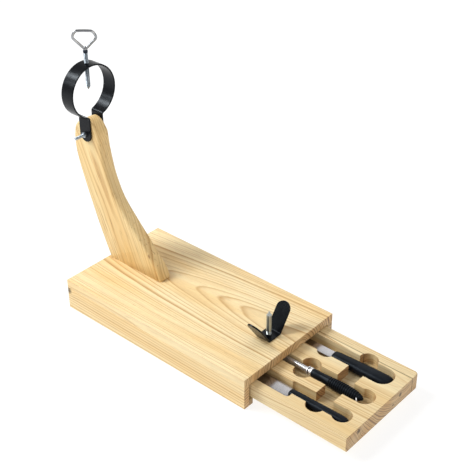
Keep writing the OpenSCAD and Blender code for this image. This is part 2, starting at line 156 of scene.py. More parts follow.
def nut(name, af, bore, height, start, axis, sides=72):
    """A hexagon nut along an axis, with chamfered corners. A bore of 0 makes a bolt's head."""
    axis = Vector(axis).normalized()
    side = axis.orthogonal().normalized()
    up = axis.cross(side)
    inner = max(bore, 0.01 * af)
    face = 0.475 * af
    chamfer = math.radians(30)
    rows = [[], [], [], [], [], []]
    for k in range(sides):
        a = 2 * math.pi * k / sides
        out = side * math.cos(a) + up * math.sin(a)
        corner = af / 2 / math.cos((a + math.pi / 6) % (math.pi / 3) - math.pi / 6)
        fall = (corner - face) * math.tan(chamfer)
        places = [(0, inner), (0, face), (fall, corner)]
        places += [(height - d, r) for d, r in reversed(places)]
        for row, (d, r) in zip(rows, places):
            row.append(Vector(start) + axis * d + out * r)
    return skin(name, rows, loop=bore > 0, sharp=25)


def board(name, node, edge=1.2 * MM):
    """A sawn board in the place of a CAD node's box, its edges eased, without the node's hidden holes."""
    lo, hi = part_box(node)
    bm = bmesh.new()
    place = Matrix.Translation((lo + hi) / 2) @ Matrix.Diagonal((*(hi - lo), 1))
    bmesh.ops.create_cube(bm, size=1, matrix=place)
    bmesh.ops.bevel(bm, geom=bm.edges[:], offset=edge, segments=3, profile=0.5, affect="EDGES")
    mesh = bpy.data.meshes.new(name)
    bm.to_mesh(mesh)
    bm.free()
    return add_piece(name, mesh, 60)


def eased(name, node, edges=(), sharp=40):
    """A copy of a CAD node's mesh with its sharp edges eased. Edges is a list of (width, test of an edge's
    middle)."""
    bm = bmesh.new()
    bm.from_mesh(NODES[node].data)
    bmesh.ops.remove_doubles(bm, verts=bm.verts, dist=0.005 * MM)
    if edges:
        bmesh.ops.dissolve_limit(bm, angle_limit=math.radians(0.5), verts=bm.verts, edges=bm.edges)
    for width, test in edges:
        found = [
            e for e in bm.edges
            if e.is_manifold and e.calc_face_angle(0) > math.radians(sharp)
            and test((e.verts[0].co + e.verts[1].co) / 2)
        ]
        bmesh.ops.bevel(bm, geom=found, offset=width, segments=2, profile=0.5, affect="EDGES")
    bmesh.ops.triangulate(bm, faces=[f for f in bm.faces if len(f.verts) > 4])
    mesh = bpy.data.meshes.new(name)
    bm.to_mesh(mesh)
    bm.free()
    return add_piece(name, mesh, 50)


def arc(centre, radius, first, last, steps):
    """Points on an arc in a plane, angles in degrees."""
    turns = [math.radians(first + (last - first) * i / steps) for i in range(steps + 1)]
    return [(centre[0] + radius * math.cos(a), centre[1] + radius * math.sin(a)) for a in turns]


STRIP_TIP = 0.6 * MM


def strip(name, path, x, width, thickness, corner=0.7 * MM):
    """A steel strip bent along a path of (y, z) points, with full-round ends and without the CAD's holes,
    which a bolt, a screw or the spike covers."""
    points = [Vector(p) for p in path]
    lengths = [0.0]
    for a, b in zip(points, points[1:]):
        lengths.append(lengths[-1] + (b - a).length)
    rows = []
    for i, p in enumerate(points):
        along = (points[min(i + 1, len(points) - 1)] - points[max(i - 1, 0)]).normalized()
        out = Vector((along.y, -along.x))
        end = min(lengths[i], lengths[-1] - lengths[i])
        half = width / 2
        if end < half:
            half = math.sqrt(max(half ** 2 - (half - end) ** 2, STRIP_TIP ** 2))
        bend = min(corner, half / 2)
        row = []
        for sx, sy, first in ((1, 1, 0), (-1, 1, 90), (-1, -1, 180), (1, -1, 270)):
            middle = (sx * (half - bend), sy * (thickness / 2 - bend))
            for u, v in arc(middle, bend, first, first + 90, 4):
                row.append((x + u, p.x + out.x * v, p.y + out.y * v))
        rows.append(row)
    return skin(name, rows, sharp=50)


def end_points(width, steps=10):
    """Distances from a full-round end at which a strip needs a row."""
    return [width / 2 * (1 - math.cos(math.pi / 2 * i / steps)) for i in range(steps + 1)]


# ---- Materials ----

class Shader:
    """One procedural material. Links go where they vary, and constants onto the sockets themselves."""

    def __init__(self, name, **constants):
        self.material = bpy.data.materials.new(name)
        self.material.use_nodes = True
        self.tree = self.material.node_tree
        self.surface = self.tree.nodes["Principled BSDF"]
        for key, value in constants.items():
            self.surface.inputs[key.replace("_", " ")].default_value = value
        self.place = self.node("TexCoord").outputs["Object"]

    def feed(self, socket, value):
        if isinstance(value, bpy.types.NodeSocket):
            self.tree.links.new(value, socket)
        else:
            socket.default_value = value

    def node(self, kind, inputs=None, **settings):
        made = self.tree.nodes.new("ShaderNode" + kind)
        for key, value in settings.items():
            setattr(made, key, value)
        for key, value in (inputs or {}).items():
            self.feed(made.inputs[key], value)
        return made

    def math(self, operation, *values):
        return self.node("Math", dict(enumerate(values)), operation=operation).outputs[0]

    def vector(self, operation, *values, out=0):
        return self.node("VectorMath", dict(enumerate(values)), operation=operation).outputs[out]

    def stretch(self, scale, place=None, location=(0, 0, 0)):
        return self.node("Mapping", {
            "Vector": place or self.place, "Scale": scale, "Location": location}).outputs[0]

    def noise(self, scale, detail=2.0, place=None, roughness=0.5, seed=(0, 0, 0)):
        if not isinstance(scale, tuple):
            scale = (scale, scale, scale)
        return self.node("TexNoise", {
            "Vector": self.stretch(scale, place, seed), "Scale": 1.0,
            "Detail": detail, "Roughness": roughness}).outputs["Fac"]

    def between(self, value, low, high, to_low=0.0, to_high=1.0):
        return self.node("MapRange", {
            0: value, 1: low, 2: high, 3: to_low, 4: to_high}, clamp=True).outputs[0]

    def ramp(self, value, stops):
        made = self.node("ValToRGB", {"Fac": value})
        band = made.color_ramp
        while len(band.elements) < len(stops):
            band.elements.new(0.5)
        for element, (at, colour) in zip(band.elements, stops):
            element.position = at
            element.color = (*colour, 1)
        return made.outputs["Color"]

    def mix(self, factor, a, b, blend="MIX"):
        made = self.node("Mix", {0: factor}, data_type="RGBA", blend_type=blend)
        for index, value in ((6, a), (7, b)):
            if isinstance(value, tuple):
                value = (*value, 1)
            self.feed(made.inputs[index], value)
        return made.outputs[2]

    def bump(self, height, strength, distance):
        made = self.node("Bump", {"Height": height, "Strength": strength, "Distance": distance})
        self.feed(self.surface.inputs["Normal"], made.outputs[0])

    def look(self, **links):
        for key, value in links.items():
            self.feed(self.surface.inputs[key.replace("_", " ")], value)
        return self.material


PALE = (0.88, 0.72, 0.43)
HONEY = (0.82, 0.585, 0.275)
LATE = (0.51, 0.28, 0.09)
END_LATE = (0.19, 0.085, 0.032)
END_TINT = (1.0, 0.86, 0.76)
FLECK = (0.30, 0.14, 0.05)
RING_SHADES = ((0, 0.05), (0.3, 0), (0.66, 0.3), (0.88, 1), (1, 0.05))
KNOT_DARK = 0.25
SEAM_DARK = 0.45
# Painted shade: the share of their colour that the routed pocket floors keep.
PAINTED_FLOOR_SHADE = 0.74
# Painted shade: the share of their colour that the end-grain walls inside the pockets keep.
PAINTED_WALL_SHADE = 0.8


def wood(name, pith, lean=(0, 0, 0), ring=4.5 * MM, tone=1.0, end=0.7, knots=(), warp=5 * MM, seam=None,
         ink=1.0, tint=(1, 1, 1), flecks=0.3, floor=None, front=0.0, uneven=3.0):
    """Pine: growth rings round a pith line that runs along X once leaned, with fibres along it.
    pith is a point on that line, ring a ring's width, and uneven how much the widths vary. tone is how
    light the wood is, end is its end grain's part of that, and tint its colour. knots are
    (x, y, z, radius), warp is how far the rings wander, and seam is the y of a glued joint. ink
    strengthens the late wood, and flecks are short brown streaks along the grain. floor is the height
    of routed floors and front the x of the board's front: floors, and end grain behind the front, get
    painted shade, the floors darker and those walls darker and browner, as if shaded in their recesses."""
    s = Shader(name)
    s.surface.inputs["Specular IOR Level"].default_value = 0.35
    place = s.node("SeparateXYZ", {0: s.place})
    grain = s.node("Mapping", {
        "Vector": s.place, "Location": pith, "Rotation": [math.radians(a) for a in lean]},
        vector_type="TEXTURE").outputs[0]

    # Growth rings: the distance from the swaying pith line, in years.
    drift = s.node("TexNoise", {
        "Vector": s.stretch((3, 16, 16), grain), "Scale": 1.0, "Detail": 2.0}).outputs["Color"]
    sway = s.vector("MULTIPLY", s.vector("SUBTRACT", drift, (0.5, 0.5, 0.5)), (0, 2 * warp, 2 * warp))
    parts = s.node("SeparateXYZ", {0: s.vector("ADD", grain, sway)})
    across = s.node("CombineXYZ", {1: parts.outputs[1], 2: parts.outputs[2]})
    radius = s.vector("LENGTH", across.outputs[0], out=1)
    for x, y, z, r in knots:
        away = s.vector("DISTANCE", s.place, (x, y, z), out=1)
        radius = s.math("ADD", radius, s.between(away, 0, 3 * r, 0.8 * ring, 0))
    years = s.math("DIVIDE", radius, ring)
    seasons = s.node("TexNoise", {"W": s.math("MULTIPLY", years, 0.35), "Scale": 1.0, "Detail": 1.0},
                     noise_dimensions="1D").outputs["Fac"]
    years = s.math("ADD", years, s.math("MULTIPLY", seasons, uneven))
    late = s.ramp(s.math("FRACT", years), [(at, (shade,) * 3) for at, shade in RING_SHADES])
    which = s.node("TexWhiteNoise", {"W": s.math("FLOOR", years)}, noise_dimensions="1D").outputs["Value"]

    # Colour: pale to honey in long bands, darker late wood, and darker lines still where the grain is cut.
    fine = s.noise((25, 1500, 1500), 3.0, grain)
    streak = s.noise((7, 260, 260), 2.0, grain, seed=(3, 1, 2))
    cloud = s.noise((2, 26, 26), 2.0, grain, seed=(1, 5.5, 2))
    body = s.mix(s.between(cloud, 0.38, 0.64, 0.0, 0.85), PALE, HONEY)
    normal = s.node("SeparateXYZ", {0: s.node("TexCoord").outputs["Normal"]})
    cut = s.between(s.math("ABSOLUTE", normal.outputs[0]), 0.3, 0.85) if end < 1 else 0.0
    strength = s.math("MULTIPLY", s.between(which, 0, 1, 0.3, 1.0), s.between(streak, 0.3, 0.7, 0.65, 1.0))
    strength = s.math("MAXIMUM", s.math("MULTIPLY", strength, ink), s.math("MULTIPLY", cut, 0.9))
    colour = s.mix(s.math("MULTIPLY", late, strength), body, s.mix(cut, LATE, END_LATE))
    specks = s.noise((22, 420, 420), 1.0, grain, seed=(6, 2, 7))
    colour = s.mix(s.between(specks, 0.70 - 0.08 * flecks, 0.78, 0.0, flecks), colour, FLECK)

    # Shade: fibres, knots, the glued joint, and painted shade on the routed floors.
    shade = s.between(fine, 0.3, 0.7, 0.92 * tone, 1.05 * tone)
    shade = s.math("MULTIPLY", shade, s.between(streak, 0.3, 0.7, 0.93, 1.04))
    for x, y, z, r in knots:
        away = s.vector("DISTANCE", s.place, (x, y, z), out=1)
        shade = s.math("MULTIPLY", shade, s.between(away, 0.45 * r, 1.15 * r, KNOT_DARK, 1.0))
    if seam is not None:
        away = s.math("ABSOLUTE", s.math("SUBTRACT", place.outputs[1], seam))
        shade = s.math("MULTIPLY", shade, s.between(away, 0.5 * MM, 1.3 * MM, SEAM_DARK, 1.0))
    # Painted shade: routed pocket floors are darkened as if shaded in their recess.
    if floor is not None:
        above = s.math("SUBTRACT", place.outputs[2], floor)
        level = s.between(normal.outputs[2], 0.5, 0.9)
        floor_shade_mask = s.math("MULTIPLY", s.between(above, 0.6 * MM, 1.6 * MM, 1.0, 0.0), level)
        shade = s.math("MULTIPLY", shade, s.between(floor_shade_mask, 0, 1, 1.0, PAINTED_FLOOR_SHADE))
    tinted = [s.math("MULTIPLY", shade, part) for part in tint]
    if end < 1:
        tinted = [s.math("MULTIPLY", c, s.between(cut, 0, 1, 1.0, end * part))
                  for c, part in zip(tinted, END_TINT)]
    # Painted shade: end-grain walls inside the pockets, behind the front, are darkened and browned as if
    # shaded in their recess.
    if floor is not None:
        inside = s.between(place.outputs[0], front - 2 * MM, front - 1 * MM, 1.0, 0.0)
        wall_shade_mask = s.math("MULTIPLY", inside, cut)
        tinted = [s.math("MULTIPLY", c, s.between(wall_shade_mask, 0, 1, 1.0, PAINTED_WALL_SHADE * part))
                  for c, part in zip(tinted, END_TINT)]
    colour = s.mix(1.0, colour, s.node("CombineColor", dict(enumerate(tinted))).outputs[0], "MULTIPLY")

    height = s.math("ADD", s.math("MULTIPLY", late, -0.35), s.math("MULTIPLY", fine, 0.8))
    s.bump(height, 0.35, 0.12 * MM)
    rough = s.math("ADD", s.between(late, 0, 1, 0.50, 0.40), s.between(fine, 0.3, 0.7, -0.05, 0.06))
    return s.look(Base_Color=colour, Roughness=rough)


BLACK = (0.003, 0.003, 0.004)
RUBBED = (0.03, 0.026, 0.022)


def black_paint():
    """Black stove paint on the bent strips: an even gloss with a slight ripple and a few rubbed spots."""
    s = Shader("black_paint")
    s.surface.inputs["Specular IOR Level"].default_value = 0.15
    s.surface.inputs["Specular Tint"].default_value = (0.82, 0.92, 1, 1)
    ripple = s.noise(90, 3.0)
    grain = s.noise(2500, 2.0)
    worn = s.between(s.noise((60, 60, 20), 4.0, seed=(4, 4, 1)), 0.66, 0.78)
    s.bump(s.math("ADD", ripple, s.math("MULTIPLY", grain, 0.12)), 0.15, 0.25 * MM)
    return s.look(
        Base_Color=s.mix(s.math("MULTIPLY", worn, 0.3), BLACK, RUBBED),
        Roughness=s.math("ADD", s.between(ripple, 0.3, 0.7, 0.20, 0.28), s.math("MULTIPLY", worn, 0.15)))


def plated(name, dark, light, low, high, brush=(400, 400, 400), metallic=1.0, relief=0.06):
    """Plated or drawn steel: cloudy between two colours and two roughnesses, with streaks along the way it
    was worked."""
    s = Shader(name, Metallic=metallic)
    cloud = s.noise(30, 1.0)
    lines = s.noise(brush, 2.0, seed=(2, 7, 1))
    blend = s.math("ADD", s.math("MULTIPLY", cloud, 0.45), s.math("MULTIPLY", lines, 0.55))
    s.bump(lines, relief, 0.03 * MM)
    return s.look(
        Base_Color=s.mix(s.between(blend, 0.35, 0.65), dark, light),
        Roughness=s.between(blend, 0.3, 0.7, low, high))


def moulded():
    """Black moulded handles: a fine grain, rubbed smoother in patches."""
    s = Shader("moulded_grip")
    s.surface.inputs["Specular IOR Level"].default_value = 0.13
    s.surface.inputs["Specular Tint"].default_value = (0.75, 0.88, 1, 1)
    grain = s.node("TexVoronoi", {"Vector": s.place, "Scale": 1300.0}).outputs["Distance"]
    rubbed = s.noise(45, 3.0)
    s.bump(s.math("ADD", grain, s.math("MULTIPLY", rubbed, 0.6)), 0.22, 0.12 * MM)
    return s.look(
        Base_Color=s.mix(s.between(rubbed, 0.4, 0.7), (0.004, 0.005, 0.007), (0.009, 0.011, 0.015)),
        Roughness=s.between(rubbed, 0.35, 0.7, 0.30, 0.40))


# ---- Base and arm ----

def build_base():
    """Boards sawn along X. The pith lines lie at places of their own, so that no two boards match."""
    lo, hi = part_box("base_side_near")
    corner_knot = (lo.x + 3 * MM, lo.y, hi.z - 6 * MM, 8 * MM)
    looks = {
        "base_top": wood("pine_top", (hi.x, 0.030, 0.038), lean=(0, -5.7, 1.6), ring=6 * MM,
                         tone=1.02, end=0.78, warp=6 * MM, ink=1.25),
        "base_side_near": wood("pine_near", (0, -0.09, -0.13), lean=(0, 0.3, 0.2), ring=6.2 * MM,
                               tone=1.02, end=0.72, knots=[corner_knot], warp=1.2 * MM, ink=1.7, uneven=0.8),
        "base_side_far": wood("pine_far", (0, 0.10, -0.16), lean=(0, 0.5, -0.4), ring=4.4 * MM,
                              tone=1.0, end=0.62),
        "base_back": wood("pine_back", (-0.22, 0.02, 0.14), lean=(0, 0, 90), ring=3.6 * MM,
                          tone=0.98, end=0.7),
        "runner_near": wood("pine_runner", (0, -0.07, -0.05), lean=(0, 0.8, 0), ring=2.6 * MM,
                            tone=0.80, end=0.6),
    }
    looks["runner_far"] = looks["runner_near"]
    for node, material in looks.items():
        stand_for(board(node.replace("base_", "pine_") + "_board", node), material, node)


def build_arm():
    """The curved arm, its grain along the line from crown to foot, with a few small knots near the crown."""
    lo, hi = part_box("arm")
    foot = Vector((hi.x - 70 * MM, 0, lo.z))
    crown = Vector((lo.x + 30 * MM, 0, hi.z))
    run = foot - crown
    lean = math.degrees(math.atan2(-run.z, run.x))
    knots = [
        (-0.2235, -0.014, 0.318, 2.2 * MM),
        (-0.209, 0.003, 0.268, 2.0 * MM),
        (-0.232, 0.006, 0.327, 1.8 * MM),
    ]
    pith = (foot.x - 12 * MM, -50 * MM, foot.z)
    material = wood("pine_arm", pith, lean=(0, lean, 1.0), ring=5.5 * MM, tone=0.92, end=1.0,
                    knots=knots, warp=7 * MM, tint=(1.0, 0.93, 0.79), flecks=0.75)
    stand_for(eased("curved_arm", "arm"), material, "arm")


# ---- Ring and its pivot ----

STRIP = 3 * MM
NECK = 4.5 * MM
SCREW_BORE = 4.02 * MM
PIVOT_BORE = 2.9 * MM
PIVOT_HEAD = 4 * MM
PIVOT_RADIUS = 3 * MM


def build_ring(black, zinc):
    """The strap ring with its two legs, the nut welded under its top, and the pivot's nut and bolt."""
    lo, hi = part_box("ring")
    width = hi.x - lo.x
    x = (lo.x + hi.x) / 2
    middle = (hi.y - lo.y) / 2 - STRIP / 2
    centre_z = hi.z - middle - STRIP / 2
    nut_lo, nut_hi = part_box("ring_nut")
    leg_y = -nut_hi.y - STRIP / 2
    bend_z = centre_z - math.sqrt((middle + NECK) ** 2 - (leg_y + NECK) ** 2)
    contact = math.degrees(math.atan2(centre_z - bend_z, leg_y + NECK))
    leg = [(leg_y, lo.z + d) for d in end_points(width)]
    half = leg + arc((leg_y + NECK, bend_z), NECK, 180, 180 - contact, 10)
    half += arc((0, centre_z), middle, -contact, 90, 60)[1:]
    path = [(-y, z) for y, z in half] + half[-2::-1]
    stand_for(strip("strap_ring", path, x, width, STRIP), black, "ring")

    weld_lo, weld_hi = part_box("screw_nut")
    af, height = weld_hi.y - weld_lo.y, weld_hi.z - weld_lo.z
    stand_for(nut("welded_nut", af, SCREW_BORE, height, (x, 0, weld_lo.z), UP), black, "screw_nut")
    pivot_z = (nut_lo.z + nut_hi.z) / 2
    af, height = nut_hi.z - nut_lo.z, nut_hi.y - nut_lo.y
    stand_for(nut("pivot_nut", af, PIVOT_BORE, height, (x, nut_hi.y, pivot_z), NEARER), zinc, "ring_nut")
    build_pivot_bolt(zinc, x, pivot_z, af)


def build_pivot_bolt(zinc, x, z, af):
    """A hexagon bolt: head on the far side, thread over its near half."""
    lo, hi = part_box("ring_bolt")
    length = hi.y - PIVOT_HEAD - lo.y
    plain = 0.5 * length
    end_chamfer = 0.8 * MM
    shank_radius = 0.98 * PIVOT_RADIUS

    def point(d):
        return PIVOT_RADIUS - max(0, d - (length - plain) + end_chamfer)
    shank = [(0, shank_radius), (plain, shank_radius)]
    shank += thread(length - plain, PIVOT_RADIUS, M6_PITCH, plain, point)
    bolt = turned("pivot_bolt", shank, (x, hi.y - PIVOT_HEAD, z), NEARER, 24)
    head = nut("pivot_head", af, 0, PIVOT_HEAD, (x, hi.y, z), NEARER)
    stand_for(bolt, zinc, "ring_bolt")
    stand_for(head, zinc, "ring_bolt")


# ---- Clamp screw and handle ----

POINT_LENGTH = 6 * MM
POINT_RADIUS = 1.0 * MM
SCREW_NECK = 2.9 * MM
COLLAR_BORE = 3.1 * MM


def build_screw(zinc):
    """A threaded rod with a blunt point, turned down where it goes into the handle's collar."""
    lo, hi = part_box("clamp_screw")
    collar_lo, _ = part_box("handle_collar")
    radius = (hi.x - lo.x) / 2
    start = ((lo.x + hi.x) / 2, (lo.y + hi.y) / 2, lo.z)
    threaded = collar_lo.z - lo.z - 0.3 * MM

    def tip(d):
        return min(radius, POINT_RADIUS + d * (radius - POINT_RADIUS) / POINT_LENGTH)
    profile = thread(threaded, radius, M8_PITCH, 0, tip)
    profile += [(threaded, SCREW_NECK), (hi.z - lo.z, SCREW_NECK)]
    stand_for(turned("threaded_rod", profile, start, UP, 24), zinc, "clamp_screw")


LOOP_WIDTH = 43 * MM
LOOP_HEIGHT = 35.5 * MM
LOOP_TURN = math.radians(41)
LOOP_SHAPE = ((0.1, 0.13), (0.29, 0.36), (0.44, 0.54), (0.49, 0.66), (0.46, 0.8), (0.37, 0.95), (0.25, 1.0))
WIRE = 5 * MM
WIRE_SIDES = 20
BRAZED_NECK = ((0, 3.4), (1.2, 3.5), (3.2, 3.3), (5.0, 2.6), (6.2, 1.2), (6.5, 0.1))


def closed_curve(points, steps):
    """A smooth closed curve through points of a plane."""
    count = len(points)
    found = []
    for i in range(count):
        a, b, c, d = (Vector(points[(i + k) % count]) for k in (-1, 0, 1, 2))
        for k in range(steps):
            t = k / steps
            found.append(0.5 * (2 * b + (c - a) * t + (2 * a - 5 * b + 4 * c - d) * t * t
                                + (3 * b - a - 3 * c + d) * t ** 3))
    return found


def build_handle(wire, dark):
    """A wire loop bent to a rounded triangle, its ends brought into one neck and brazed to a collar."""
    collar_lo, collar_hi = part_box("handle_collar")
    x, y = (collar_lo.x + collar_hi.x) / 2, (collar_lo.y + collar_hi.y) / 2
    half = [(u * LOOP_WIDTH, v * LOOP_HEIGHT) for u, v in LOOP_SHAPE]
    path = closed_curve([(0, WIRE / 2)] + half + [(-u, v) for u, v in reversed(half)], 10)
    side = Vector((math.cos(LOOP_TURN), math.sin(LOOP_TURN), 0))
    face = Vector((-side.y, side.x, 0))
    rows = []
    for i, p in enumerate(path):
        along = (path[(i + 1) % len(path)] - path[i - 1]).normalized()
        out = side * along.y - Vector((0, 0, along.x))
        middle = Vector((x, y, collar_hi.z)) + side * p.x + Vector((0, 0, p.y))
        rows.append([
            middle + (out * math.cos(a) + face * math.sin(a)) * WIRE / 2
            for a in (2 * math.pi * k / WIRE_SIDES for k in range(WIRE_SIDES))])
    stand_for(skin("wire_loop", rows, loop=True), wire, "clamp_handle")
    neck = [(d * MM, r * MM) for d, r in BRAZED_NECK]
    stand_for(turned("brazed_neck", neck, (x, y, collar_hi.z), UP, 32), wire, "clamp_handle")
    r = (collar_hi.x - collar_lo.x) / 2
    height = collar_hi.z - collar_lo.z
    barrel = [
        (0, COLLAR_BORE), (0, r - 0.8 * MM), (0.3 * MM, r - 0.3 * MM), (0.8 * MM, r), (height - 1.2 * MM, r),
        (height - 0.4 * MM, r - 0.5 * MM), (height, r - 1.4 * MM), (height, COLLAR_BORE)]
    stand_for(turned("screw_collar", barrel, (x, y, collar_lo.z), UP, 40), dark, "handle_collar")


# ---- Spike and bracket ----

LEAN = math.radians(34)
FLAT = 32 * MM
WING = 59 * MM
BEND = 4 * MM
SPIKE_POINT = 8 * MM
SPIKE_TIP = ((0, 3.1), (3.5, 2.0), (7.2, 0.75), (8, 0.3))


def build_spike(black, bright):
    """The bracket's strip with two leaning wings, and the spike: threaded foot, shank and point."""
    lo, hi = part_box("spike_bracket")
    x, y = (lo.x + hi.x) / 2, (lo.y + hi.y) / 2
    along = Vector((math.sin(LEAN), math.cos(LEAN)))
    start = Vector((FLAT / 2 - math.cos(LEAN) * STRIP / 2, math.sin(LEAN) * STRIP / 2))
    tip = start + along * WING
    turn = math.pi / 2 - LEAN
    corner = start + along * (STRIP / 2 - start.y) / along.y
    bend_y = corner.x - BEND * math.tan(turn / 2)
    half = [tuple(tip - along * d) for d in end_points(hi.x - lo.x)]
    half += reversed(arc((bend_y, STRIP / 2 + BEND), BEND, -90, -90 + math.degrees(turn), 10))
    half += [(8 * MM, STRIP / 2)]
    path = half + [(-u, v) for u, v in reversed(half)]
    path = [(y + u, lo.z + v) for u, v in path]
    stand_for(strip("winged_bracket", path, x, hi.x - lo.x, STRIP), black, "spike_bracket")

    spike_lo, spike_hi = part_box("spike")
    r = (spike_hi.x - spike_lo.x) / 2
    shoulder = spike_hi.z - SPIKE_POINT - (lo.z + STRIP)
    profile = [(0, r - 1.6 * MM), (1.0 * MM, r - 1.6 * MM)]
    profile += thread(6.5 * MM, r, M8_PITCH, 1.1 * MM)
    profile += [(8.0 * MM, r - 0.5 * MM), (8.6 * MM, r), (shoulder - 1.0 * MM, r)]
    profile += [(shoulder - 0.3 * MM, r - 0.4 * MM), (shoulder, r - 1.2 * MM)]
    profile += [(shoulder + d * MM, q * MM) for d, q in SPIKE_TIP]
    stand_for(turned("ground_spike", profile, (x, y, lo.z + STRIP), UP, 48), bright, "spike")


# ---- Drawer ----

POCKET_FLOOR = 24.5 * MM


def build_drawer():
    """The routed block and the strip glued along its far side, whose far front corner is rounded."""
    _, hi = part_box("drawer_block")
    strip_lo, strip_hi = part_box("drawer_strip")
    pits = [
        (hi.x, 0.051, 0.033, 5.0 * MM),
        (hi.x, 0.030, 0.0235, 2.6 * MM),
        (hi.x, -0.072, 0.037, 5.5 * MM),
    ]
    # floor and front give painted shade to the pockets' floors and to their inner end-grain walls.
    block = wood("pine_drawer", (0, 0.06, 0.12), lean=(0, -1.2, 0.8), ring=4.5 * MM, tone=0.93, end=0.74,
                 knots=pits, seam=strip_lo.y, ink=1.2, floor=POCKET_FLOOR, front=hi.x)
    edge = wood("pine_strip", (0, 0.16, -0.06), lean=(0, 0.8, 0.6), ring=3.4 * MM, tone=0.94, end=0.74,
                seam=strip_lo.y, ink=1.2, floor=POCKET_FLOOR, front=hi.x)
    stand_for(eased("routed_block", "drawer_block", [(0.8 * MM, lambda p: True)]), block, "drawer_block")
    rounded = strip_hi.y - 8.5 * MM
    stand_for(eased("glued_strip", "drawer_strip", [
        (2.5 * MM, lambda p: p.y > rounded and p.z > strip_hi.z - 1 * MM),
        (0.7 * MM, lambda p: p.y < rounded)]), edge, "drawer_strip")


# ---- Tools ----

def smoothed(stations, u):
    """Value at u of a smooth curve through (place, value) stations."""
    for i in range(len(stations) - 1):
        a, b = stations[i], stations[i + 1]
        if u <= b[0]:
            before, after = stations[max(i - 1, 0)], stations[min(i + 2, len(stations) - 1)]
            t = (u - a[0]) / (b[0] - a[0])
            gap = b[0] - a[0]
            slope_a = (b[1] - before[1]) / (b[0] - before[0]) * gap
            slope_b = (after[1] - a[1]) / (after[0] - a[0]) * gap
            return ((2 * t ** 3 - 3 * t * t + 1) * a[1] + (t ** 3 - 2 * t * t + t) * slope_a
                    + (3 * t * t - 2 * t ** 3) * b[1] + (t ** 3 - t * t) * slope_b)
    return stations[-1][1]


GRIP_ROWS = 56
GRIP_SIDES = 36
ROUNDNESS = 0.75
THINNEST = 0.1 * MM


def grip(name, node, plastic, sides, thick):
    """A moulded handle: rounded sections between two side curves, in parts of its width and thickness.
    sides are (place, near, far) stations and thick are (place, half thickness)."""
    lo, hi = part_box(node)
    middle = (lo + hi) / 2
    length, width, depth = hi - lo
    near = [(u, n) for u, n, _ in sides]
    far = [(u, f) for u, _, f in sides]
    rows = []
    for i in range(GRIP_ROWS + 1):
        u = 0.5 - 0.5 * math.cos(math.pi * i / GRIP_ROWS)
        a, b = smoothed(near, u) * width, smoothed(far, u) * width
        half = max((a + b) / 2, THINNEST)
        rise = max(smoothed(thick, u) * depth, THINNEST)
        row = []
        for k in range(GRIP_SIDES):
            turn = 2 * math.pi * k / GRIP_SIDES
            c, s = math.cos(turn), math.sin(turn)
            row.append((lo.x + u * length,
                        middle.y + (b - a) / 2 + half * math.copysign(abs(c) ** ROUNDNESS, c),
                        middle.z + rise * math.copysign(abs(s) ** ROUNDNESS, s)))
        rows.append(row)
    return stand_for(skin(name, rows, sharp=60), plastic, node)


BLADE_ROWS = 60
GRIND_DEPTH = 0.42
BEVEL_DEPTH = 0.06
TAPER = 0.45


def blade(name, node, heel, width, belly, steel):
    """A blade that lies flat: thick at its straight spine, ground to the edge, rising to the point. heel is
    the x of its root, width its depth there, and belly the length over which the edge rises."""
    lo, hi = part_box(node)
    y, z = (lo.y + hi.y) / 2, (lo.z + hi.z) / 2
    half = (hi.z - lo.z) / 2
    spine = y + width / 2
    length = heel - lo.x
    straight = 1 - belly / length
    rows = []
    for i in range(BLADE_ROWS + 1):
        u = i / BLADE_ROWS
        rise = max(0, (u - straight) / (1 - straight)) ** 2.3
        edge = spine - width * max(1 - rise, 0.01)
        grind = spine + (edge - spine) * GRIND_DEPTH
        bevel = edge + (spine - edge) * BEVEL_DEPTH
        thick = half * (1 - TAPER * u)
        back = spine - 0.3 * MM * min(1, 1.1 - u)
        section = [
            (back, thick), (spine, thick * 0.7), (spine, -thick * 0.7), (back, -thick), (grind, -thick),
            (bevel, -thick * 0.3), (edge, 0), (bevel, thick * 0.3), (grind, thick)]
        rows.append([(heel - length * u, a, z + b) for a, b in section])
    return stand_for(skin(name, rows, sharp=12), steel, node)


HAM_SIDES = (
    (0, 0.38, 0.42), (0.02, 0.44, 0.45), (0.08, 0.47, 0.47), (0.3, 0.44, 0.46), (0.55, 0.46, 0.47),
    (0.85, 0.49, 0.48), (0.95, 0.47, 0.42), (0.985, 0.34, 0.3), (1, 0.1, 0.1))
HAM_THICK = (
    (0, 0.31), (0.02, 0.36), (0.1, 0.39), (0.4, 0.43), (0.8, 0.495), (0.95, 0.47), (0.985, 0.36), (1, 0.1))
BONING_SIDES = (
    (0, 0.34, 0.31), (0.02, 0.39, 0.34), (0.1, 0.43, 0.37), (0.35, 0.44, 0.41), (0.65, 0.47, 0.47),
    (0.86, 0.47, 0.495), (0.95, 0.38, 0.46), (0.985, 0.24, 0.36), (1, 0.06, 0.14))
BONING_THICK = (
    (0, 0.33), (0.02, 0.38), (0.1, 0.42), (0.5, 0.47), (0.85, 0.495), (0.95, 0.45), (0.985, 0.32), (1, 0.1))


def build_knives(plastic, steel):
    """Two knives that lie on their sides: the ham knife's long blade and the boning knife's short one."""
    ham_lo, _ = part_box("ham_knife_handle")
    boning_lo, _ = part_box("boning_knife_handle")
    blade("ham_blade", "ham_knife_blade", ham_lo.x + 1 * MM, 24 * MM, 70 * MM, steel)
    blade("boning_blade", "boning_knife_blade", boning_lo.x + 1 * MM, 18 * MM, 60 * MM, steel)
    grip("ham_grip", "ham_knife_handle", plastic, HAM_SIDES, HAM_THICK)
    grip("boning_grip", "boning_knife_handle", plastic, BONING_SIDES, BONING_THICK)


STEEL_GRIP = (
    (0, 0.72), (0.02, 0.76), (0.07, 0.77), (0.184, 0.755), (0.346, 0.84), (0.52, 0.97), (0.645, 0.985),
    (0.83, 0.85), (0.94, 0.53), (0.984, 0.26), (1, 0.05))
RIB_ROWS = 280
RIBS_FROM, RIBS_TO = 0.33, 0.95
RIB_PITCH = 4.3 * MM
RIB_DEPTH = 1.5 * MM
RIB_FADE = 0.04
FERRULE_BORE = 5.6 * MM


